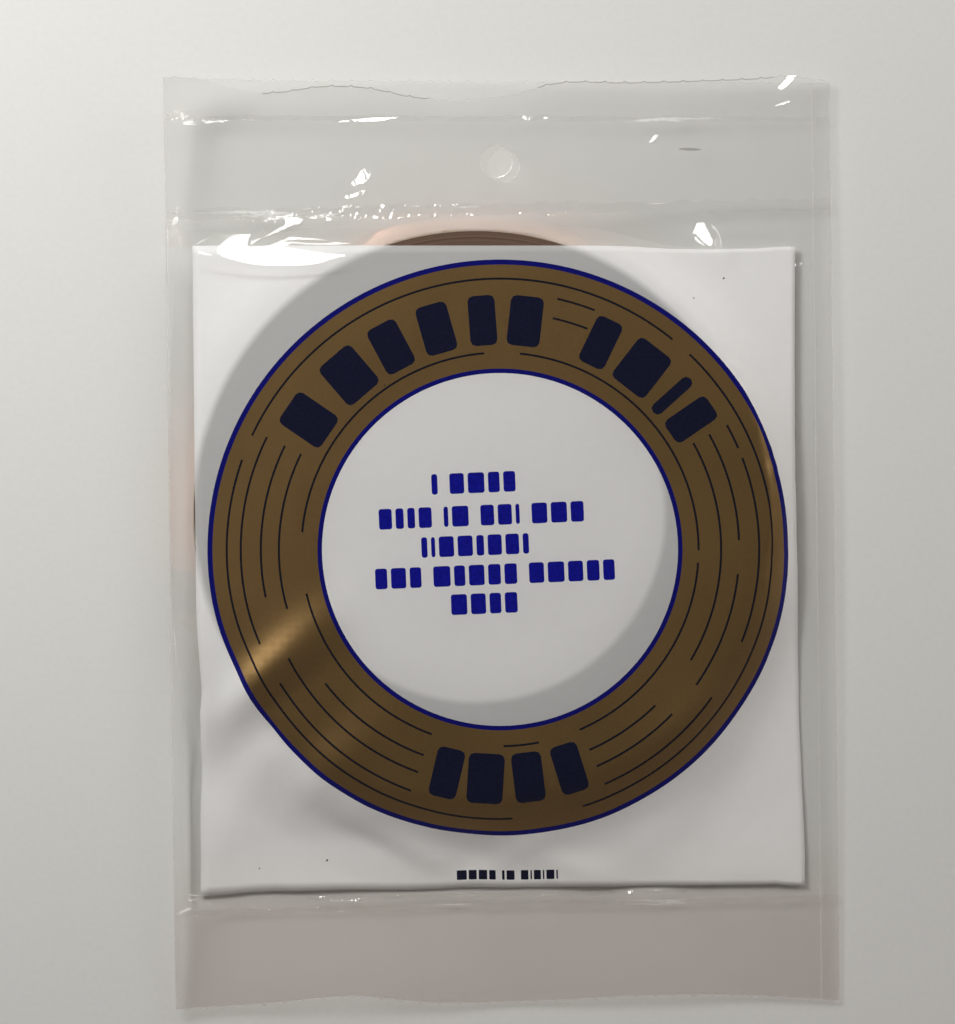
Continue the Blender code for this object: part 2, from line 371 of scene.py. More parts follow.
def wound_material():
    """The side of the wound tape: edges of foil between edges of paper, along one spiral."""
    material, nodes = new_material("wound_edges")
    moved = nodes.add("VectorMath", {0: nodes.place, 1: (-ROLL_X, -ROLL_Y, 0.0)}, operation="ADD")
    parts = nodes.add("SeparateXYZ", {0: moved.outputs[0]})
    angle = nodes.math("ARCTAN2", parts.outputs["Y"], parts.outputs["X"])
    distance = nodes.distance_from(ROLL_X, ROLL_Y)
    turns = nodes.math("DIVIDE", distance, TURN_PITCH)
    spiral = nodes.math("SUBTRACT", turns, nodes.math("DIVIDE", angle, 2 * pi))
    phase = nodes.math("FRACT", spiral)
    foil = nodes.ramp(phase, [(0.0, 1.0), (0.28, 1.0), (0.38, 0.0), (0.92, 0.0), (1.0, 1.0)])
    bands = nodes.noise(5.0, 2.0)
    ring = nodes.add("CombineXYZ", {"X": nodes.math("MULTIPLY", distance, 2400.0)})
    tone = nodes.add("TexNoise", {"Vector": ring.outputs[0], "Scale": 1.0, "Detail": 4.0})
    paper = [(0.36, (0.055, 0.032, 0.022)), (0.64, (0.20, 0.135, 0.095))]
    paper = nodes.ramp(tone.outputs["Fac"], paper)
    colour = nodes.mix(nodes.math("MULTIPLY", foil, 0.75), paper, (0.30, 0.155, 0.095, 1.0))
    colour = nodes.mix(nodes.math("MULTIPLY", bands, 0.25), colour, (0.16, 0.09, 0.06, 1.0))
    rough = nodes.ramp(foil, [(0.0, 0.75), (1.0, 0.42)])
    metal = nodes.math("MULTIPLY", foil, 0.7)
    normal = nodes.bump(foil, 0.00003, 0.5)
    nodes.principled(Base_Color=colour, Metallic=metal, Roughness=rough, Normal=normal)
    return material


def copper_material():
    material, nodes = new_material("copper_foil_surface")
    drawn = nodes.noise(400.0, 3.0, 0.5, (1.0, 1.0, 12.0))
    stain = nodes.noise(70.0, 3.0)
    colour = nodes.ramp(stain, [(0.3, (0.80, 0.40, 0.25)), (0.7, (0.90, 0.49, 0.33))])
    rough = nodes.ramp(drawn, [(0.3, 0.30), (0.7, 0.44)])
    normal = nodes.bump(stain, 0.00015, 0.5)
    nodes.principled(Base_Color=colour, Metallic=1.0, Roughness=rough, Normal=normal)
    return material


def board_material(name, dark, light):
    material, nodes = new_material(name)
    fibres = nodes.noise(500.0, 4.0, 0.6, (1.0, 1.0, 4.0))
    specks = nodes.noise(2200.0, 2.0)
    colour = nodes.ramp(fibres, [(0.25, dark), (0.75, light)])
    colour = nodes.mix(nodes.math("MULTIPLY", specks, 0.2), colour, (0.2, 0.14, 0.09, 1.0))
    normal = nodes.bump(fibres, 0.0001, 0.5)
    nodes.principled(Base_Color=colour, Roughness=0.85, Normal=normal)
    return material


# ---- card ----


def around(field):
    """The mean of each point's four neighbours in a grid, whose edges count as their own neighbours."""
    padded = np.pad(field, 1, mode="edge")
    return (padded[:-2, 1:-1] + padded[2:, 1:-1] + padded[1:-1, :-2] + padded[1:-1, 2:]) / 4


def soften(field, passes):
    for _ in range(passes):
        field = 0.5 * field + 0.5 * around(field)
    return field


def between(field, i, j, a, b):
    """A grid's value between four of its points: a of the way to row i + 1 and b to column j + 1."""
    low = field[i, j] * (1 - b) + field[i, j + 1] * b
    high = field[i + 1, j] * (1 - b) + field[i + 1, j + 1] * b
    return low * (1 - a) + high * a


def ridges(table, x, y):
    """Long soft ridges and hollows: x, y, half length, half width, height (mm), direction (degrees)."""
    total = np.zeros(np.broadcast(x, y).shape)
    for px, py, length, width, height, direction in table:
        c, s = cos(radians(direction)), sin(radians(direction))
        dx, dy = (x - px * MM) / MM, (y - py * MM) / MM
        along, across = (dx * c + dy * s) / length, (dy * c - dx * s) / width
        total = total + height * MM * np.exp(-(along**2) - across**2)
    return total


CARD_RIDGES = [
    (-46.3, -25, 14, 4.2, 2.1, 43),
    (-46, -36, 13, 3.6, -0.7, 38),
    (-36, -46, 15, 4.5, 0.6, 44),
    (-53, -52, 12, 5, 0.7, 60),
    (-30, -60, 11, 3.6, -0.8, -32),
    (-18, -63, 12, 2.4, 0.6, -24),
    (-8, -66, 9, 1.6, -0.4, 18),
    (3, -62.5, 10, 1.8, 0.45, 24),
    (13, -66, 8, 1.8, 0.4, -15),
    (30, -60, 11, 3.5, 0.45, 28),
    (38, -36, 12, 3.5, 0.5, 42),
    (54, -18, 10, 3.5, 0.5, 74),
    (50, -52, 10, 4.5, -0.45, 30),
]


def card_height(x, y):
    """Height of the card: flat on the roll, and bent down beyond its rim."""
    distance = np.hypot(x - ROLL_X, y - ROLL_Y)
    down = np.clip((ROLL_Y - y) / np.maximum(distance, MM), -1, 1)
    right = np.clip((x - ROLL_X) / np.maximum(distance, MM), -1, 1)
    level = 1 - smooth(down)
    drop = 0.7 * MM + 4.2 * MM * smooth(down * 1.25) + 3.3 * MM * smooth(right * 1.3) * level
    drop = np.minimum(drop, CARD_FLAT_Z - CARD_LOW_Z)
    beyond = distance - ROLL_RADIUS
    corner = smooth(np.abs(x - ROLL_X) / (45 * MM)) * smooth(down)
    reach = 14 * MM - 2 * MM * smooth(right) * level + 8 * MM * corner
    z = CARD_FLAT_Z - drop * smooth(beyond / reach)
    z = z + 0.01 * np.maximum(beyond - 22 * MM, 0) * smooth(down * 1.5)
    return z - 0.25 * MM * smooth((CORE_HOLE_RADIUS - distance) / (14 * MM))


def card_waves(x, y):
    """Ripples and buckles of the thin card, which are strongest below the roll."""
    low = smooth((-34 * MM - y) / (30 * MM)) * (1 - 0.6 * smooth((np.abs(x) - 30 * MM) / (20 * MM)))
    ripple = lattice_noise(x * 0.8 + y * 0.3, y - x * 0.2, 12 * MM, SEED) * 0.5 * MM * low
    broad = lattice_noise(x, y, 28 * MM, SEED + 1) * 0.3 * MM
    return ripple + broad + ridges(CARD_RIDGES, x, y)


class CardSheet:
    """The card's flat paper laid on its bent surface, without stretching it along x or y."""

    def __init__(self):
        self.pitch = 0.75 * MM
        reach = CARD_HALF_WIDTH + 4 * MM, CARD_HALF_LENGTH + 4 * MM
        self.u = np.arange(-reach[0], reach[0], self.pitch)
        self.v = np.arange(-reach[1], reach[1], self.pitch)
        uu, vv = np.meshgrid(self.u, self.v)
        x, y = uu + CARD_X, vv + CARD_Y
        bent = soften(card_height(x, y), 5) + card_waves(x, y)
        aside = np.abs(x - ROLL_X)
        nearest = np.hypot(np.maximum(aside - CARD_TRAVEL, 0), y - ROLL_Y)
        farthest = np.hypot(aside + CARD_TRAVEL, y - ROLL_Y)
        on_roll = (farthest > CORE_HOLE_RADIUS - 1.2 * MM) & (nearest < ROLL_RADIUS + 1.5 * MM)
        lowest = np.where(on_roll, ROLL_TOP + 0.12 * MM, 0.32 * MM)
        self.z = soften(np.maximum(bent, lowest + 0.08 * MM), 1)
        du = self.shorten(self.z, 1)
        dv = self.shorten(self.z, 0)
        middle = len(self.v) * 2 // 3
        self.x = x - (du - du[:, len(self.u) // 2][:, None])
        self.y = y - (dv - dv[middle][None, :])

    def shorten(self, z, axis):
        slope = np.gradient(z, self.pitch, axis=axis)
        return np.cumsum(0.5 * slope**2, axis=axis) * self.pitch

    def place(self, u, v):
        """Points of the bent card for arrays of flat places."""
        fu = np.clip((u - self.u[0]) / self.pitch, 0, len(self.u) - 1.001)
        fv = np.clip((v - self.v[0]) / self.pitch, 0, len(self.v) - 1.001)
        i, j = fv.astype(int), fu.astype(int)
        return np.stack([between(field, i, j, fv - i, fu - j) for field in (self.x, self.y, self.z)], -1)


# Printing on the card. Angles are in degrees clockwise from the header, as on a clock.
PRINT_X, PRINT_Y, PRINT_SQUASH = 0.15 * MM, 4.05 * MM, 0.991
RING_OUTER, RING_INNER = 58.35 * MM, 35.5 * MM
BORDER = 1.0 * MM
LINE_WIDTH = 0.42 * MM
LINES = {
    54.5: [(-64.5, 39.8), (44.6, 163), (178, 290)],
    51.7: [(13.4, 22.1), (61.7, 67.4), (69.8, 111.8), (125.8, 156.8), (200.7, 238.9), (249, 296.6)],
    47.7: [(13.4, 22.1), (61.6, 88.4), (96.6, 125.5), (134.6, 156.8), (200.7, 243.1), (259, 296.6)],
    44.1: [(61.6, 121), (136, 156.8), (200.8, 232.8), (254.9, 296.5)],
    39.6: [(-84.3, -3.9), (6.4, 90.9), (94.5, 157), (169.3, 179.6), (200.7, 257.7)],
}
BLOCK_MIDDLE, BLOCK_HEIGHT, BLOCK_CORNER = 46.2 * MM, 10.0 * MM, 1.1 * MM
TOP_BLOCKS = [(-55, 7.6), (-40, 8.2), (-27.4, 6.4), (-15.3, 6.4), (-3.7, 5.4), (6.9, 6.6)]
TOP_BLOCKS += [(26.4, 5.6), (38.4, 8.2), (48.6, 2.4), (56.2, 5.4)]
LOW_BLOCKS = [(193.9, 5.6), (184.2, 7.2), (173.6, 6), (163.2, 5.6)]
STAMP_HEIGHT, STAMP_GAP, STAMP_TILT = 4.1 * MM, 0.75 * MM, radians(1.7)
# Lines of small blocks: y and x of the line's middle, and the widths of the blocks in each word (mm)
STAMP_LINES = [
    (17.4, -5, [[1.2], [2.9, 3.3, 2.3, 2.4]]),
    (10.9, -3.5, [[2.6, 1.6, 1.5, 2.6], [0.9, 3.3], [2.7, 2.8, 0.8], [3.1, 3.2, 2.6]]),
    (4.9, -4.8, [[1.2, 0.8, 3, 3, 1.5, 2.8, 2.7, 1.2]]),
    (-0.9, -0.9, [[2.4, 3, 2.3], [3.4, 2.2, 3.1, 2.5, 2.5], [3, 3.3, 3, 2.5, 2.3]]),
    (-6.7, -3.1, [[3.2, 3, 2.3, 2.5]]),
]
SMALL_HEIGHT = 1.9 * MM
SMALL_LINE = (-62.1, 0.9, [[2, 1.6, 1.7, 1.3], [0.5, 1.6], [1.5, 0.3, 1.4, 0.3, 1.6, 0.3]])

# Specks of stray ink: x, y, radius in millimetres
SPECKS = [(-35.3, -59, 0.22), (-48.8, -60.4, 0.15), (46.1, 58.3, 0.2), (39.7, 54.1, 0.16)]
SPECKS += [(-22.5, 37, 0.14)]


def clock(radius, degrees):
    angle = radians(degrees)
    return PRINT_X + radius * sin(angle), PRINT_Y + PRINT_SQUASH * radius * cos(angle)


def circle_outline(radius, steps=200):
    return [clock(radius, -360 * i / steps) for i in range(steps)]


def band_outline(low, high, start, end):
    """The outline of a stretch of ring, with its sides about 1.5 mm long."""
    steps = max(2, round(radians(end - start) * high / (1.5 * MM)))
    angles = [start + (end - start) * i / steps for i in range(steps + 1)]
    return [clock(high, a) for a in reversed(angles)] + [clock(low, a) for a in angles]


def rounded_box(x, y, width, height, turn, corner):
    """A rectangle with cut-off round corners, turned anticlockwise about its middle."""
    points = []
    for side_x, side_y, start in ((1, 1, 0), (-1, 1, 90), (-1, -1, 180), (1, -1, 270)):
        for step in (0, 45, 90):
            a = radians(start + step)
            px = side_x * (width / 2 - corner) + corner * cos(a)
            py = side_y * (height / 2 - corner) + corner * sin(a)
            points.append((x + px * cos(turn) - py * sin(turn), y + px * sin(turn) + py * cos(turn)))
    return points


def ring_blocks(blocks):
    """Plain blocks where words stand on the ring."""
    outlines = []
    for degrees, width in blocks:
        x, y = clock(BLOCK_MIDDLE, degrees)
        turn = radians(-degrees if abs(degrees) < 90 else 180 - degrees)
        outlines.append(rounded_box(x, y, width * MM, BLOCK_HEIGHT, turn, BLOCK_CORNER))
    return outlines


def text_line(line, height, gap, tilt, corner):
    """Plain blocks for one line of words."""
    line_y, line_x, words = line
    space = 3.2 * gap
    total = sum(sum(w) * MM + gap * (len(w) - 1) for w in words) + space * (len(words) - 1)
    x = -total / 2
    outlines = []
    for word in words:
        for width in word:
            middle = x + width * MM / 2
            px = line_x * MM + middle * cos(tilt)
            py = line_y * MM + middle * sin(tilt)
            outlines.append(rounded_box(px, py, width * MM, height, tilt, corner))
            x += width * MM + gap
        x += space - gap
    return outlines


def card_outline():
    """The card's edge: four corners that aren't quite square, with points about 1.5 mm apart."""
    w, h = CARD_HALF_WIDTH, CARD_HALF_LENGTH
    corners = [(-w, -h - 0.4 * MM), (w, -h + 0.7 * MM), (w - 0.2 * MM, h - 0.8 * MM), (-w, h + 0.6 * MM)]
    points = []
    for (x0, y0), (x1, y1) in zip(corners, corners[1:] + corners[:1]):
        steps = round(hypot(x1 - x0, y1 - y0) / (1.5 * MM))
        points += [(x0 + (x1 - x0) * i / steps, y0 + (y1 - y0) * i / steps) for i in range(steps)]
    return points


PAPER, GOLD, BORDER_BLUE, LINE_BLACK, NAVY, STAMP = range(6)


def printed_outlines():
    """(outline, ink) for everything printed, where a later one lies over an earlier one."""
    prints = [
        (circle_outline(RING_OUTER), BORDER_BLUE),
        (circle_outline(RING_OUTER - BORDER), GOLD),
        (circle_outline(RING_INNER + BORDER * 0.9), BORDER_BLUE),
        (circle_outline(RING_INNER, 160), PAPER),
    ]
    for radius, spans in LINES.items():
        low, high = radius * MM - LINE_WIDTH / 2, radius * MM + LINE_WIDTH / 2
        prints += [(band_outline(low, high, *span), LINE_BLACK) for span in spans]
    prints += [(outline, NAVY) for outline in ring_blocks(TOP_BLOCKS + LOW_BLOCKS)]
    for line in STAMP_LINES:
        boxes = text_line(line, STAMP_HEIGHT, STAMP_GAP, STAMP_TILT, 0.45 * MM)
        prints += [(outline, STAMP) for outline in boxes]
    for x, y, radius in SPECKS:
        angles = [radians(60 * i) for i in range(6)]
        outline = [((x + radius * cos(a)) * MM, (y + radius * sin(a)) * MM) for a in angles]
        prints.append((outline, NAVY))
    small = text_line(SMALL_LINE, SMALL_HEIGHT, 0.4 * MM, radians(0.6), 0.15 * MM)
    return prints + [(outline, NAVY) for outline in small]


def clear_of(points, outlines, gap):
    """The points further than gap from every outline, so that no sliver of a face lies between them."""
    for outline in outlines:
        start = np.array(outline)
        side = np.roll(start, -1, 0) - start
        away = points[:, None] - start
        length2 = np.maximum((side**2).sum(-1), 1e-12)
        share = np.clip((away * side).sum(-1) / length2, 0, 1)
        distance = np.linalg.norm(away - share[..., None] * side, axis=-1)
        points = points[distance.min(1) > gap]
    return [tuple(p) for p in points]


def build_card(sheet):
    outline = card_outline()
    prints = printed_outlines()
    pitch = 1.6 * MM
    us = np.arange(-CARD_HALF_WIDTH + pitch, CARD_HALF_WIDTH - pitch / 2, pitch)
    vs = np.arange(-CARD_HALF_LENGTH + pitch, CARD_HALF_LENGTH - pitch / 2, pitch)
    shapes = [outline] + [p[0] for p in prints]
    points = clear_of(np.stack(np.meshgrid(us, vs), -1).reshape(-1, 2), shapes, 0.3 * MM)
    faces = []
    for shape in shapes:
        faces.append(list(range(len(points), len(points) + len(shape))))
        points += shape
    inks = [PAPER] + [p[1] for p in prints]
    scale = 1000.0
    flat = [Vector((x * scale, y * scale)) for x, y in points]
    verts, _, tris, _, _, origins = delaunay_2d_cdt(flat, [], faces, 1, 1e-5)
    u = np.array([v.x for v in verts]) / scale
    v = np.array([v.y for v in verts]) / scale
    kept = [(t, inks[max(o)]) for t, o in zip(tris, origins) if o]
    materials = [
        paper_material("card_paper", front=True),
        gold_ink_material(),
        ink_material("border_blue_ink", (0.001, 0.0015, 0.11), (0.002, 0.003, 0.20), 0.25),
        ink_material("line_ink", (0.003, 0.004, 0.012), (0.010, 0.010, 0.018), 0.25),
        ink_material("navy_ink", (0.003, 0.005, 0.022), (0.007, 0.009, 0.034), 0.2),
        ink_material("stamp_ink", (0.001, 0.0015, 0.22), (0.004, 0.006, 0.32), 0.16),
        paper_material("card_back_paper", front=False),
    ]
    faces, face_inks = zip(*kept)
    card = mesh_object("printed_card", sheet.place(u, v), faces, materials, face_inks)
    shell = card.modifiers.new("thickness", "SOLIDIFY")
    shell.thickness = 0.1 * MM
    shell.offset = -1.0
    shell.material_offset = len(materials)
    shell.material_offset_rim = len(materials)
    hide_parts("label_card")
    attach(card, "card")


# ---- film ----

# Heights along the bag, in millimetres: (place, height)
LEFT_FOLD = [(-93, 2.3), (-73, 4), (-40, 4.6), (0, 5.3), (30, 5.9), (50, 6), (66, 7), (80, 8.6)]
LEFT_FOLD += [(93, 9.6)]
RIGHT_EDGE = [(-93, 0.5), (-73, 0.9), (-30, 1.5), (20, 1.7), (66, 1.5), (93, 1.2)]
LOW_WELD_HEIGHTS = [(-66.5, 4), (-63, 2.7), (-58, 1.6), (-40, 1), (0, 0.9), (40, 1), (60, 1)]
LOW_WELD_HEIGHTS += [(66.5, 0.9)]
MID_WELD_HEIGHTS = [(-66.5, 7), (-64, 5.2), (-61, 4.3), (-57, 4), (-50, 3.8), (-45, 3.6), (-38, 3.9)]
MID_WELD_HEIGHTS += [(-30, 4.5), (-5, 4.6), (10, 4.4), (25, 3.8), (34, 3.2), (40, 2.9), (52, 2.4)]
MID_WELD_HEIGHTS += [(60, 1.9), (66.5, 1.5)]
TOP_WELD_HEIGHTS = [(-66.5, 8.8), (-64, 6.7), (-61, 5), (-57.5, 4), (-53, 3.5), (-40, 3.3), (-28, 3.4)]
TOP_WELD_HEIGHTS += [(-10, 3), (8, 3), (25, 3.1), (50, 2.6), (60, 1.9), (66.5, 1.3)]
FRONT_LIP_HEIGHTS = [(-66.5, 9.6), (-60, 8), (-52, 6.4), (-40, 5.6), (-28, 5.5), (-15, 4), (-3, 3.6)]
FRONT_LIP_HEIGHTS += [(8, 4), (25, 4.4), (50, 3.8), (60, 3), (66.5, 1.8)]
BACK_LIP_HEIGHTS = [(-66.5, 9.6), (-60, 7), (-52, 4.2), (-44, 2.7), (-28, 2.4), (-15, 2), (-3, 1.9)]
BACK_LIP_HEIGHTS += [(8, 2.1), (25, 2.3), (50, 2.3), (60, 2.1), (66.5, 1.7)]
TAIL_CUT_HEIGHTS = [(-66.5, 2.3), (-58, 1.7), (-46, 2.4), (-32, 3.2), (-16, 1.8), (0, 0.9), (30, 1.9)]
TAIL_CUT_HEIGHTS += [(50, 1), (66.5, 0.7)]
# Cut edges along the bag's width, in millimetres: (x, y)
BACK_LIP_CUT = [(-66.5, 93), (0, 92), (66.5, 90.9)]
FRONT_LIP_CUT = [(-66.5, 93), (-60, 92.8), (-54, 91.2), (-48, 90), (-43, 90.2), (-36, 91.1)]
FRONT_LIP_CUT += [(-26, 90.8), (-17, 89), (-3.5, 88.5), (4, 89.6), (10.5, 91.2), (26, 91.3)]
FRONT_LIP_CUT += [(40, 91.5), (52, 91.9), (60, 92.4), (66.5, 91.1)]
# The stretches of the front lip, in millimetres, that are curled over; their cut edge gets a dark film
# tint, painted shade
CURLED_LIP = [(-47, -14), (8, 55)]
TAIL_CUT = [(-66.5, -93), (-48, -92), (-31, -90.7), (-16, -92.2), (4, -92.3), (28, -91.3)]
TAIL_CUT += [(48, -91.6), (66.5, -92.9)]
# Wrinkles of the front film: x, y, half length, half width, height (mm), direction (degrees from +X)
WRINKLES = [
    (53, 79, 3.2, 1, 0.2, 55),
    (-20, 76, 9, 3, 0.4, 118),
    (-38, 78, 8, 3, 0.4, 70),
    (14, 74, 7, 3, 0.35, 100),
    (-62, -66, 7, 1.6, 0.35, 80),
    (48, -66, 8, 1.8, 0.3, 160),
]
# Flat facets of the front film: x, y, half length and half width (mm), turn, slope and the direction that
# climbs (degrees), and how far the facet is raised (mm)
FACETS = [
    (-44, 58.2, 14.5, 3.7, -1, 21.4, -94, 0.35),
    (-43.6, 62.7, 5, 1, 24, 21.2, -93.6, 0.4),
    (-24.6, 84.6, 4.6, 0.45, 3, 19.3, -88, 0),
    (-31.2, 84.2, 1.5, 0.3, 5, 19.3, -89, 0),
    (-56.8, 84.5, 4.2, 0.5, -2, 19.5, -98, 0),
    (-61, 86.1, 2.6, 0.45, -4, 19.5, -99, 0),
    (-49.6, 83.6, 1.2, 0.35, 10, 19.6, -95, 0),
    (5.6, 84.6, 1, 0.45, -20, 19.5, -79, 0),
    (9.5, 84.5, 0.5, 0.4, 0, 19.6, -77, 0),
    (33.2, 85.7, 0.9, 0.6, 45, 20, -70, 0),
    (31, 80.1, 1.3, 0.8, 52, 20.4, -71, 0),
    (40.9, 60.6, 3.4, 1.9, -60, 21.9, -70, 0.6),
    (57.9, 91.2, 3, 1.2, 45, 20.5, -63, 0),
    (57, 86.9, 2.4, 0.7, 12, 20.8, -63, 0),
    (59.3, 54.6, 0.9, 0.9, 0, 23, -68, 0.2),
    (-27.6, 72.3, 2.8, 1.3, 80, 20.3, -89, 0),
    (-28.7, 69.5, 1.9, 0.8, 32, 20.4, -90, 0),
    (-41, 65, 3.6, 0.7, 2, 21.1, -93, 0.1),
    (-34, 64.6, 1, 0.5, 30, 21, -91, 0),
]
SEAM_X = 62.7 * MM
EDGE_WIDTH = 0.22 * MM
# Spacing and height of the small stubs that stand out of the cut edges
NUB_PITCH, NUB_HEIGHT = 3.9 * MM, 0.28 * MM


def header_weld_y(x):
    return 66.25 * MM + 0.0065 * x


def top_weld_y(x):
    return 84.45 * MM - 0.0125 * x


def bottom_weld_y(x):
    return -72.95 * MM + 0.012 * x


def near_side(x):
    """0 along the bag's two sides, rising to 1 within 2.5 mm of them."""
    return smooth((HALF_WIDTH - np.abs(x)) / (2.5 * MM))


def lay_facets(x, y, z):
    """The same film with its small facets pressed into it."""
    base = np.broadcast_to(z, np.broadcast(x, y).shape)
    z = base.copy()
    for px, py, length, width, turn, slope, climb, lift in FACETS:
        c, s = cos(radians(turn)), sin(radians(turn))
        dx, dy = x - px * MM, y - py * MM
        away = np.hypot((dx * c + dy * s) / length, (dy * c - dx * s) / width) / MM
        share = (1 - smooth((away - 0.85) / 0.6)) * near_side(x)
        rise = dx * cos(radians(climb)) + dy * sin(radians(climb))
        middle = base.flat[np.argmin(np.hypot(dx, dy))] + lift * MM
        z = z + (middle + rise * tan(radians(slope)) - z) * share
    return z


def weld_puckers(x, away, seed, reach):
    """Small folds that run out of a weld and die away with the distance from it."""
    fine = lattice_noise(x, away * 0.35, 2.4 * MM, seed) * 0.05 * MM * np.exp(-np.abs(away) / (0.4 * reach))
    long = lattice_noise(x, away * 0.20, 7.0 * MM, seed + 1) * 0.2 * MM * np.exp(-np.abs(away) / reach)
    return fine + long


def film_detail(x, y):
    """Puckers and soft waves, alike on both sides of each fold line."""
    detail = lattice_noise(x, y, 19 * MM, SEED + 7) * 0.20 * MM
    for weld_y, seed, reach in ((header_weld_y, 3, 5), (top_weld_y, 11, 4), (bottom_weld_y, 5, 4)):
        detail = detail + weld_puckers(x, y - weld_y(x), SEED + seed, reach * MM)
    return detail * near_side(x)


def card_heights(sheet, x, y):
    """Heights of the card over each place, for five places that it slides to."""
    v = np.clip(y - CARD_Y, -CARD_HALF_LENGTH, CARD_HALF_LENGTH)
    heights = []
    for shift in np.linspace(-CARD_TRAVEL, CARD_TRAVEL, 5):
        u = np.clip(x - CARD_X - shift, -CARD_HALF_WIDTH, CARD_HALF_WIDTH)
        heights.append(sheet.place(u, v)[..., 2])
    return np.stack(heights)


def obstacle(sheet, x, y):
    """The lowest that the front film may lie: on the card, wherever it slides to, and on the roll's rim."""
    inside = np.abs(x - CARD_X) < CARD_HALF_WIDTH + CARD_TRAVEL + 0.3 * MM
    inside &= (y > CARD[0].y - 0.4 * MM) & (y < CARD[1].y + 0.8 * MM)
    card = np.where(inside, card_heights(sheet, x, y).max(0) + FILM_CLEARANCE, -1.0)
    on_roll = np.hypot(x - ROLL_X, y - ROLL_Y) < ROLL_RADIUS + 0.4 * MM
    return np.where(on_roll, np.maximum(card, ROLL_TOP + FILM_CLEARANCE), card)


def pull_tight(x, y, held, low):
    """A film held where held has a height, pulled tight elsewhere, and nowhere below low."""
    z = np.full(held[::16, ::16].shape, 3 * MM)
    for step in (8, 4, 2, 1):
        hold, floor = held[::step, ::step], low[::step, ::step]
        fixed = ~np.isnan(hold)
        z = np.repeat(np.repeat(z, 2, 0), 2, 1)[: hold.shape[0], : hold.shape[1]]
        for _ in range(400):
            z = around(np.where(fixed, hold, np.maximum(z, floor)))
        z = np.where(fixed, hold, np.maximum(z, floor))
    return z


def columns():
    """Places across the bag, with a narrow strip at each side and along the seam."""
    middle = np.arange(-HALF_WIDTH + EDGE_WIDTH, SEAM_X - 0.2 * MM, COLUMN_PITCH)
    right = [SEAM_X, SEAM_X + EDGE_WIDTH, (SEAM_X + HALF_WIDTH) / 2, HALF_WIDTH - EDGE_WIDTH, HALF_WIDTH]
    return np.concatenate([[-HALF_WIDTH], middle, right])


def line_faces(x):
    """Material index of each face: 1 along the left fold, the seam and the right edge, 0 elsewhere."""
    index = np.zeros((x.shape[0] - 1, x.shape[1] - 1), int)
    index[:, [0, -4, -1]] = 1
    return index


def film_object(name, x, y, z, materials, index):
    obj = grid_object(name, x, y, z, materials, index.reshape(-1))
    return obj


def fall(distance, reach):
    """1 at a raised edge, falling to 0 where the film comes down to the table."""
    return np.clip(1 - distance / reach, 0, 1) ** 1.7


def back_film_height(sheet, x, y):
    """The film under the roll: on the table, and rising to the bag's sides and welds."""
    chord = ROLL_RADIUS**2 - (y - ROLL_Y) ** 2
    room = ROLL_X - np.sqrt(np.maximum(chord, 0)) + HALF_WIDTH - 0.2 * MM
    reach = np.where(chord > 0, np.minimum(9 * MM, room), 9 * MM)
    rise = knots(y, LEFT_FOLD) * fall(x + HALF_WIDTH, reach)
    rise = np.maximum(rise, knots(y, RIGHT_EDGE) * fall(HALF_WIDTH - x, 5 * MM))
    rise = np.maximum(rise, knots(x, MID_WELD_HEIGHTS) * fall(header_weld_y(x) - y, 11 * MM))
    rise = np.maximum(rise, knots(x, LOW_WELD_HEIGHTS) * fall(y - bottom_weld_y(x), 5 * MM))
    z = np.maximum(rise, TABLE_Z)
    on_roll = np.hypot(x - ROLL_X, y - ROLL_Y) < ROLL_RADIUS + 1 * MM
    z = np.where(on_roll, np.minimum(z, ROLL_BOTTOM - 0.1 * MM), z)
    return z


def build_pocket(sheet, materials):
    rows = round((POCKET_HIGH_Y - POCKET_LOW_Y) / POCKET_PITCH) + 1
    x, y = np.meshgrid(columns(), np.linspace(POCKET_LOW_Y, POCKET_HIGH_Y, rows))
    held = np.full(x.shape, np.nan)
    held = np.where(y > header_weld_y(x) - 0.8 * MM, knots(x, MID_WELD_HEIGHTS), held)
    held = np.where(y < bottom_weld_y(x) + 0.8 * MM, knots(x, LOW_WELD_HEIGHTS), held)
    held[:, 0] = knots(y[:, 0], LEFT_FOLD)
    held[:, -1] = knots(y[:, -1], RIGHT_EDGE)
    low = obstacle(sheet, x, y)
    front = np.maximum(soften(pull_tight(x, y, held, low), 4), low - 0.1 * MM)
    front = np.where(np.isnan(held), front, held)
    front = lay_facets(x, y, front + film_detail(x, y) + ridges(WRINKLES, x, y))
    front = np.maximum(front, low - 0.1 * MM)
    front_obj = film_object("front_film_of_pocket", x, y, front, materials, line_faces(x))
    back = back_film_height(sheet, x, y) + 0.3 * film_detail(x, y)
    back = np.clip(back, TABLE_Z, front - 0.05 * MM)
    inside = np.abs(x - CARD_X) < CARD_HALF_WIDTH + CARD_TRAVEL + 0.8 * MM
    inside &= y > CARD[0].y - 0.4 * MM
    card = card_heights(sheet, x, y).min(0)
    back = np.where(inside, np.minimum(back, np.maximum(card - 0.3 * MM, TABLE_Z)), back)
    back_obj = film_object("back_film_of_pocket", x, y, back, materials, 0 * line_faces(x))
    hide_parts("pocket_front_film", "side_seam")
    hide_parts("pocket_back_film")
    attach(front_obj, "pocket")
    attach(back_obj, "pocket")
    return x, y, front


def nubs(x):
    """Short stubs that stand out of a cut edge."""
    phase = np.mod(x / NUB_PITCH, 1.0)
    return NUB_HEIGHT * np.clip(1 - np.abs(phase - 0.5) / 0.14, 0, 1)


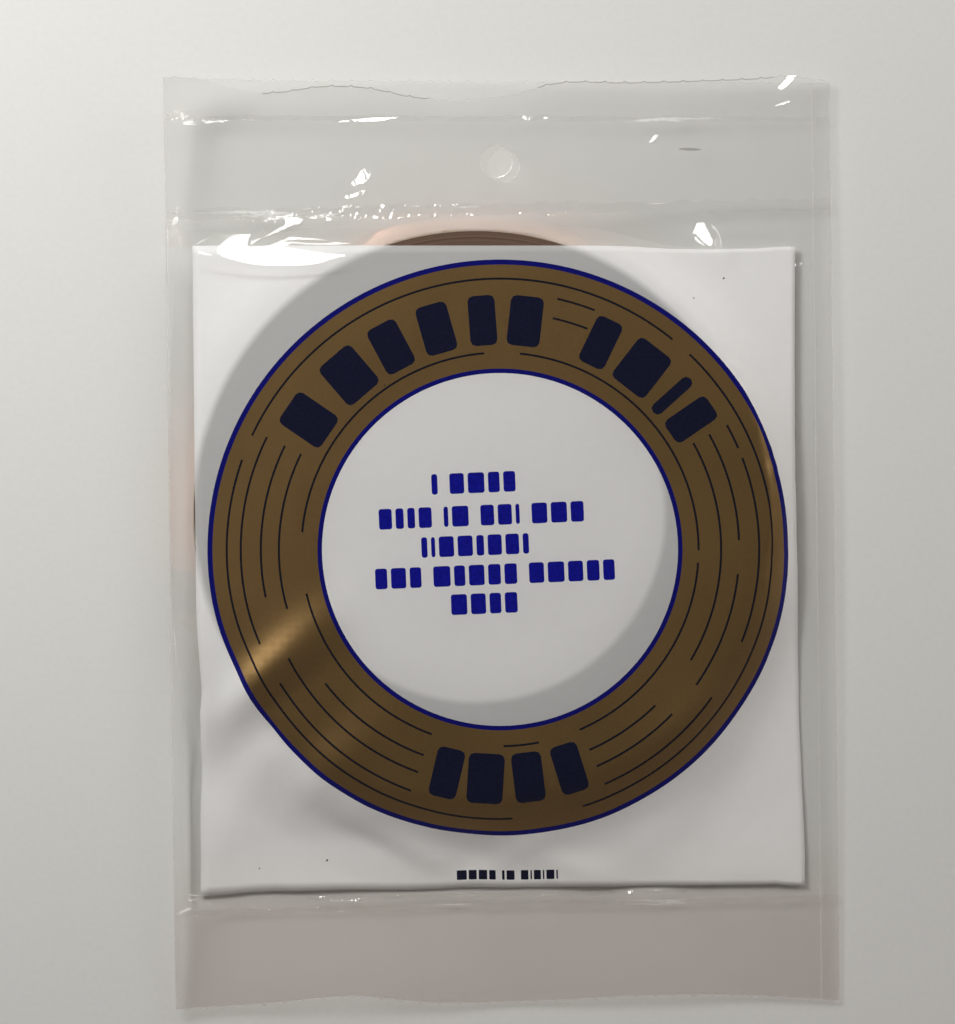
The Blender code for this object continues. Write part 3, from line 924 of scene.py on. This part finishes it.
def flap_grid(low_y, cut, pitch):
    """Places over a flap from the fold line at low_y to its cut edge, with a thin last strip."""
    xs = columns()
    end = knots(xs, cut)
    outward = np.sign(end - low_y)
    end = end + nubs(xs) * outward
    count = round(np.abs(end.mean() - low_y) / pitch) + 1
    t = np.append(np.linspace(0, 1, count), 1.0)[:, None]
    y = low_y + (end - outward * EDGE_WIDTH - low_y) * t
    y[-1] = end
    return np.repeat(xs[None, :], len(t), 0), y


def header_heights(x, y):
    """(front, back) film heights over the header."""
    low, weld, top = POCKET_HIGH_Y, top_weld_y(x), 92 * MM
    base, joined = knots(x, MID_WELD_HEIGHTS), knots(x, TOP_WELD_HEIGHTS)
    chamber = np.clip((y - low) / (weld - low), 0, 1)
    mid = base + (joined - base) * smooth(chamber)
    air = 1.1 * MM * np.sin(chamber * pi) ** 1.2 * smooth((HALF_WIDTH - np.abs(x)) / (12 * MM))
    open_part = np.clip((y - weld) / (top - weld), 0, 1) ** 1.3
    front = mid + air * 0.75 + (knots(x, FRONT_LIP_HEIGHTS) - joined) * open_part
    back = mid - air * 0.25 + (knots(x, BACK_LIP_HEIGHTS) - joined) * open_part
    front = lay_facets(x, y, front + film_detail(x, y) + ridges(WRINKLES, x, y))
    back = np.minimum(back + film_detail(x, y), front - 0.03 * MM)
    back = np.where(y < low + 0.01 * MM, front, back)
    return np.maximum(front, TABLE_Z + 0.1 * MM), np.maximum(back, TABLE_Z)


def punch(obj, x, y):
    """Cuts the hang hole through a film, and pulls its rim onto a circle."""
    bm = bmesh.new()
    bm.from_mesh(obj.data)
    inside = [v for v in bm.verts if hypot(v.co.x - x, v.co.y - y) < HANG_HOLE_RADIUS]
    bmesh.ops.delete(bm, geom=inside, context="VERTS")
    for vert in bm.verts:
        distance = hypot(vert.co.x - x, vert.co.y - y)
        if vert.is_boundary and distance < HANG_HOLE_RADIUS * 1.6:
            vert.co.x = x + (vert.co.x - x) * HANG_HOLE_RADIUS / distance
            vert.co.y = y + (vert.co.y - y) * HANG_HOLE_RADIUS / distance
    bm.to_mesh(obj.data)
    bm.free()


def build_hole_rim(name, x, y, layer, material):
    """The burred rim round the hang hole in one film."""
    steps = 64
    angles = np.linspace(0, 2 * pi, steps, endpoint=False)
    rings = []
    for outward, lift in ((-0.04 * MM, 0.05 * MM), (0.16 * MM, 0.09 * MM)):
        radius = HANG_HOLE_RADIUS + outward
        px, py = x + radius * np.cos(angles), y + radius * np.sin(angles)
        z = header_heights(px, py)[layer]
        rings.append(np.stack([px, py, z + lift], -1))
    faces = [(i, i + steps, (i + 1) % steps + steps, (i + 1) % steps) for i in range(steps)]
    rim = mesh_object(name, np.concatenate(rings), faces, [material])
    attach(rim, "header")


def build_header(materials, lip):
    for name, cut, layer, node, shift in (
        ("front_film_of_header", FRONT_LIP_CUT, 0, "header_front_film", (0, 0)),
        ("back_film_of_header", BACK_LIP_CUT, 1, "header_back_film", (-1.4 * MM, 1.0 * MM)),
    ):
        x, y = flap_grid(POCKET_HIGH_Y, cut, HEADER_PITCH)
        index = line_faces(x) if layer == 0 else 0 * line_faces(x)
        # Index 2 gives the curled stretches of the lip the dark-tinted film, painted shade.
        index[-1, :] = 1
        if layer == 0:
            across = x[0, :-1] / MM
            index[-1, across < CURLED_LIP[0][0]] = 0
            for left, right in CURLED_LIP:
                index[-1, (across > left) & (across < right)] = 2
        obj = film_object(name, x, y, header_heights(x, y)[layer], materials + [lip], index)
        hole = HANG_HOLE[0] + shift[0], HANG_HOLE[1] + shift[1]
        punch(obj, *hole)
        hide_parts(node)
        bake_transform(obj)
        build_hole_rim(name.replace("film", "rim"), *hole, layer, materials[1])


def build_dash(material):
    """A dark strip of film on the header's front film, painted shade of a short fold pressed flat in it."""
    x, across = np.meshgrid(np.linspace(35.9, 40.5, 12) * MM, np.array([-0.3, 0.0, 0.3]) * MM)
    taper = 1 - ((x - 38.2 * MM) / (2.6 * MM)) ** 2
    y = 77.85 * MM - 0.04 * (x - 38.2 * MM) + across * taper
    z = header_heights(x, y)[0] + 0.15 * MM
    dash = film_object("fold_in_header", x, y, z, [material], 0 * line_faces(x))
    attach(dash, "header")


def build_tail(materials):
    x, y = flap_grid(POCKET_LOW_Y, TAIL_CUT, TAIL_PITCH)
    t = smooth((POCKET_LOW_Y - y) / (19 * MM))
    base = knots(x, LOW_WELD_HEIGHTS)
    mid = base + (knots(x, TAIL_CUT_HEIGHTS) - base) * t + film_detail(x, y)
    gap = 0.5 * MM * smooth((POCKET_LOW_Y - y) / (9 * MM)) * near_side(x)
    front = np.maximum(mid + gap / 2 + ridges(WRINKLES, x, y), TABLE_Z + 0.1 * MM)
    back = np.maximum(mid - gap / 2, TABLE_Z)
    for name, z, node in (
        ("front_film_of_tail", front, "tail_front_film"),
        ("back_film_of_tail", back, "tail_back_film"),
    ):
        index = line_faces(x) if z is front else 0 * line_faces(x)
        index[-1, :] = 1
        obj = film_object(name, x[::-1], y[::-1], z[::-1], materials, index[::-1])
        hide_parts(node)
        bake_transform(obj)


def weld_strip(name, line, surface, strength, width, material):
    """A crinkled weld: a narrow strip just over the front film, roughest where strength is high."""
    seed = SEED + 10 * len(name)
    start = max(strength[0][0] * MM, -HALF_WIDTH + 0.3 * MM)
    end = min(strength[-1][0] * MM, HALF_WIDTH - 0.3 * MM)
    xs = np.arange(start, end, 0.2 * MM)
    rows = 9
    across = np.linspace(-0.5, 0.5, rows)[:, None]
    x = np.repeat(xs[None, :], rows, 0)
    wander = lattice_noise(x, 0 * x, 12 * MM, seed + 2) * 0.25 * MM
    ragged = 1 + 0.5 * lattice_noise(x, across * 9 * MM, 3 * MM, seed + 3)
    y = line(x) + wander + across * width * ragged
    amount = knots(x, strength) / MM
    fine = lattice_noise(x, y, 0.85 * MM, seed) * 0.16 * MM
    coarse = lattice_noise(x, y * 0.6, 1.7 * MM, seed + 1) * 0.3 * MM
    z = surface(x, y) + 0.12 * MM + np.abs(fine + coarse) * amount
    return grid_object(name, x, y, z, [material])


def read_grid(x_grid, y_grid, field):
    """A function that reads a field given over the pocket's grid, between its points."""
    xs, ys = x_grid[0], y_grid[:, 0]

    def read(x, y):
        j = np.clip(np.searchsorted(xs, x) - 1, 0, len(xs) - 2)
        i = np.clip(np.searchsorted(ys, y) - 1, 0, len(ys) - 2)
        b = (x - xs[j]) / (xs[j + 1] - xs[j])
        a = (y - ys[i]) / (ys[i + 1] - ys[i])
        return between(field, i, j, a, b)

    return read


# How crumpled each weld is along the bag's width: (x in mm, share)
MID_WELD_CRUMPLE = [(-66.5, 0.2), (-52, 0.4), (-48, 1.2), (-20, 1.3), (-8, 0.8), (-2, 0.1), (26, 0.1)]
MID_WELD_CRUMPLE += [(33, 0.6), (38, 0.2), (46, 0.6), (52, 0.3), (66.5, 0.3)]
TOP_WELD_CRUMPLE = [(-66.5, 0.7), (-50, 0.6), (-36, 0.2), (-20, 0.15), (-10, 0.15), (4, 0.3), (20, 0.1)]
TOP_WELD_CRUMPLE += [(34, 0.4), (66.5, 0.4)]
LOW_WELD_CRUMPLE = [(-66.5, 0.1), (-42, 0.2), (-34, 0.4), (28, 0.3), (36, 0.1), (66.5, 0.1)]
CARD_EDGE_CRUMPLE = [(-40, 0), (-37, 1.8), (-28, 1.8), (-24, 0.3), (-12, 0.6), (-9, 1.8), (-2, 1.6)]
CARD_EDGE_CRUMPLE += [(6, 1), (8, 1.8), (14, 1.4), (18, 0.3), (23, 1.8), (33, 1.7), (36, 0)]


def card_edge_y(x):
    return CARD[0].y - 0.35 * MM + 0.010 * x


def header_front(x, y):
    return header_heights(x, y)[0]


def build_welds(pocket, weld):
    """Pocket is a function that reads the height of the pocket's front film."""
    for where, line, surface, strength, width in (
        ("header_weld", header_weld_y, pocket, MID_WELD_CRUMPLE, 2.2),
        ("bottom_weld", bottom_weld_y, pocket, LOW_WELD_CRUMPLE, 1.1),
        ("film_at_card", card_edge_y, pocket, CARD_EDGE_CRUMPLE, 0.9),
        ("top_weld", top_weld_y, header_front, TOP_WELD_CRUMPLE, 1.0),
    ):
        strip = weld_strip("crinkled_" + where, line, surface, strength, width * MM, weld)
        if where != "film_at_card":
            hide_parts(where)
        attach(strip, "header" if where == "top_weld" else "pocket")


# ---- roll ----


def build_tape_turns(material):
    """The wound tape, whose turns stand a little proud of each other on both sides."""
    inner, outer = CORE_RADIUS + 0.05 * MM, WOUND_RADIUS
    steps, rings = 256, 34
    rng = np.random.default_rng(SEED)
    lift = rng.uniform(-0.05, 0.05, (2, rings + 1)) * MM
    lift[:, 0] = lift[:, -1] = -0.06 * MM
    angles = np.linspace(0, 2 * pi, steps, endpoint=False)
    sections = []
    for side, z in ((0, ROLL_TOP), (1, ROLL_BOTTOM)):
        order = range(rings + 1) if side == 0 else range(rings, -1, -1)
        for i in order:
            radius = inner + (outer - inner) * i / rings
            sway = 0.03 * MM * np.sin(angles * 2 + i * 0.7)
            height = z + (lift[side, i] + sway if side == 0 else -lift[side, i] - sway)
            sections.append(np.stack(around_roll(radius, angles, height), -1))
    starts = np.arange(len(sections))[:, None] * steps
    ends = np.roll(starts, -1, 0)
    k = np.arange(steps)
    n = np.roll(k, -1)
    faces = np.stack([starts + k, ends + k, ends + n, starts + n], -1).reshape(-1, 4)
    obj = mesh_object("tape_turns", np.concatenate(sections), faces, [material])
    obj.data.flip_normals()
    obj.data.set_sharp_from_angle(angle=radians(50))
    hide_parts("wound_tape")
    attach(obj, "roll")


def build_foil_wrap(material):
    """The last turn of foil, with soft dents and its cut end lifted by a hair."""
    steps, levels = 360, 8
    level, t = np.meshgrid(np.arange(levels + 1), np.linspace(0, 1, steps + 1), indexing="ij")
    angles = radians(200) + radians(351) * t
    dent = 0.02 * MM * np.sin(angles * 9 + level) * np.sin(angles * 23)
    lifted = 0.25 * MM * np.maximum(0, (t - 0.975) / 0.025) ** 2
    z = ROLL_BOTTOM + (ROLL_TOP - ROLL_BOTTOM) * level / levels
    radius = ROLL_RADIUS - 0.03 * MM + dent + lifted
    obj = grid_object("foil_wrap", *around_roll(radius, angles, z), [material])
    shell = obj.modifiers.new("thickness", "SOLIDIFY")
    shell.thickness = FOIL_THICKNESS
    shell.offset = 0.0
    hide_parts("outer_turn_foil")
    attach(obj, "roll")


def dress_node(node, material):
    obj = frame["nodes"][node]
    obj.data.materials.clear()
    obj.data.materials.append(material)


# ---- stage ----


# Lights: place, size (m), power (W), colour
LIGHTS = {
    "window": ((-0.27, 0.27, 0.32), (0.20, 0.20), 1.50, (1, 1, 0.975)),
    "lamp": ((-0.043, 0.38, 0.32), (0.05, 0.17), 0.26, (1, 1, 0.98)),
    "pale_wall": ((0.62, 0.42, 0.42), (0.5, 0.35), 2, (1, 0.985, 0.95)),
}
# Light of the room: (height of the direction, colour)
ROOM_LIGHT = [(0, (0.33, 0.287, 0.272)), (0.45, (0.25, 0.218, 0.207)), (0.85, (0.07, 0.065, 0.062))]
ROOM_LIGHT += [(1, (0.03, 0.03, 0.03))]
# The camera's height over the table, and how much of the table its picture covers from top to bottom
CAMERA_HEIGHT, SEEN_HEIGHT = 1.0, 0.2053


def area_light(name, place, size, power, colour):
    """A rectangular light that points at the package. The first size runs along x."""
    data = bpy.data.lights.new(name, "AREA")
    data.shape = "RECTANGLE"
    data.size, data.size_y = size
    data.energy = power
    data.color = colour
    lamp = bpy.data.objects.new(name, data)
    lamp.location = place
    lamp.rotation_mode = "QUATERNION"
    lamp.rotation_quaternion = (-Vector(place)).to_track_quat("-Z", "Y")
    bpy.context.scene.collection.objects.link(lamp)


def build_world():
    """Dim above and brighter towards the horizon, as in a room with pale walls."""
    world = bpy.data.worlds.new("room")
    bpy.context.scene.world = world
    world.use_nodes = True
    world.node_tree.nodes.clear()
    nodes = Nodes(world.node_tree)
    direction = nodes.add("TexCoord").outputs["Generated"]
    up = nodes.add("SeparateXYZ", {0: direction}).outputs["Z"]
    back = nodes.add("Background", {"Color": nodes.ramp(up, ROOM_LIGHT), "Strength": 1.0})
    nodes.add("OutputWorld", {"Surface": back.outputs[0]})


def build_stage():
    side, low = 3.0, -0.1 * MM
    corners = [(-side, -side, low), (side, -side, low), (side, side, low), (-side, side, low)]
    floor = mesh_object("table", corners, [(0, 1, 2, 3)], [floor_material()])
    for name, light in LIGHTS.items():
        area_light(name, *light)
    build_world()


def build_camera():
    """Straight above the package and a little off its middle, turned by less than a degree."""
    data = bpy.data.cameras.new("camera")
    data.sensor_width = 36
    data.lens = data.sensor_width * CAMERA_HEIGHT / SEEN_HEIGHT
    camera = bpy.data.objects.new("camera", data)
    camera.location = (-5.0 * MM, 5.9 * MM, CAMERA_HEIGHT)
    camera.rotation_euler = (0, 0, radians(-0.65))
    bpy.context.scene.collection.objects.link(camera)
    bpy.context.scene.camera = camera


def main():
    scene = bpy.context.scene
    scene.view_settings.view_transform = "Standard"
    scene.cycles.transparent_max_bounces = 32
    build_camera()
    build_stage()
    film = film_material("clear_film", (0.966, 0.966, 0.965), 0.002, 0.035, 0.06)
    # Milky haze on cut edges, folds, the seam and the hole rims: painted highlight of the light that thin
    # film edges catch.
    edge = film_material("film_edge", (0.98, 0.98, 0.97), 0.22, 0.08, 0.2)
    # Dark-tinted film: painted shade on the curled lip and on the pressed fold.
    lip = film_material("film_lip", (0.62, 0.61, 0.60), 0.06, 0.06, 0.15)
    # The welds' film, whose white streaks are partly painted glints.
    weld = film_material("crinkled_film", (0.97, 0.97, 0.965), 0.03, 0.06, 0.10, whitening_and_glints=0.5)
    sheet = CardSheet()
    build_card(sheet)
    pocket_front = read_grid(*build_pocket(sheet, [film, edge]))
    build_dash(lip)
    build_header([film, edge], lip)
    build_tail([film, edge])
    build_welds(pocket_front, weld)
    build_tape_turns(wound_material())
    build_foil_wrap(copper_material())
    for node, name, dark, light in (
        ("cardboard_core", "core_board", (0.30, 0.21, 0.13), (0.44, 0.33, 0.22)),
        ("outer_turn_liner", "liner_paper", (0.60, 0.53, 0.42), (0.72, 0.66, 0.55)),
        ("outer_turn_adhesive", "adhesive", (0.42, 0.38, 0.30), (0.52, 0.47, 0.38)),
    ):
        dress_node(node, board_material(name, dark, light))


main()
